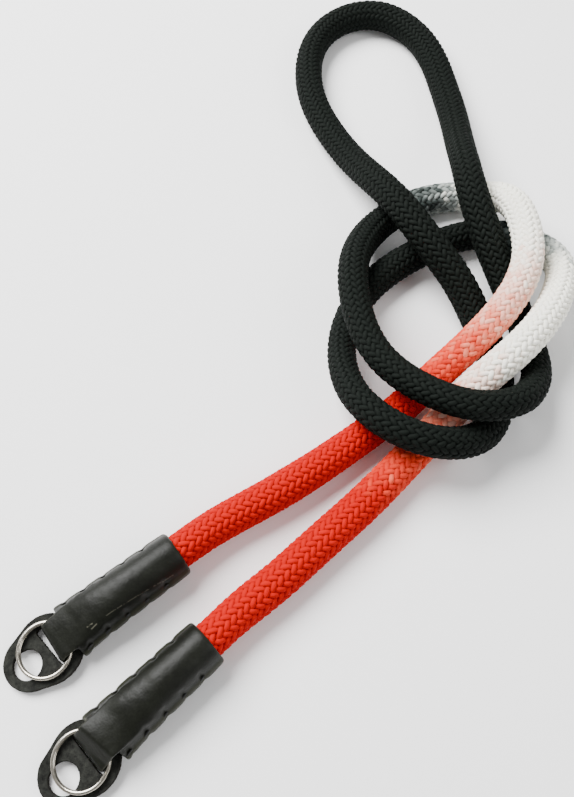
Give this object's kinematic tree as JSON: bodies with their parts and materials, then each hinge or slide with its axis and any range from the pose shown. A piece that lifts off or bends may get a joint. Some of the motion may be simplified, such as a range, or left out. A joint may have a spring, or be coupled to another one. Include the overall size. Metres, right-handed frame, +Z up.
{
  "type": "camera neck strap",
  "caption": "Round braided rope camera strap tied in a loose knot, with stitched leather ends, split rings and holed leather lug pads.",
  "frame": {"origin": "bottom centre of the box round the two leather ends, their split rings and lug pads, on the surface that the strap lies on; the rope is left out of that box", "axes": "+Z up from the surface; +Y towards the knot and the middle loop, which lie to +X and +Y of the ends; the pads point towards -X and -Y"},
  "size_m": [0.1533, 0.2622, 0.0238],
  "materials": {
    "braided_rope": "braided cotton, dyed red, cream, grey and greenish black along its length",
    "sleeve_leather": "smooth black leather, semi-gloss",
    "pad_leather": "rough grey flesh side of black leather",
    "ring_steel": "satin nickel-plated steel"
  },
  "bodies": {
    "root": {"rope": "braided_rope", "leather_sleeve_1": "sleeve_leather", "leather_sleeve_2": "sleeve_leather", "lug_pad_1": "pad_leather", "lug_pad_2": "pad_leather", "split_ring_1": "ring_steel", "split_ring_2": "ring_steel"}
  },
  "joints": []
}
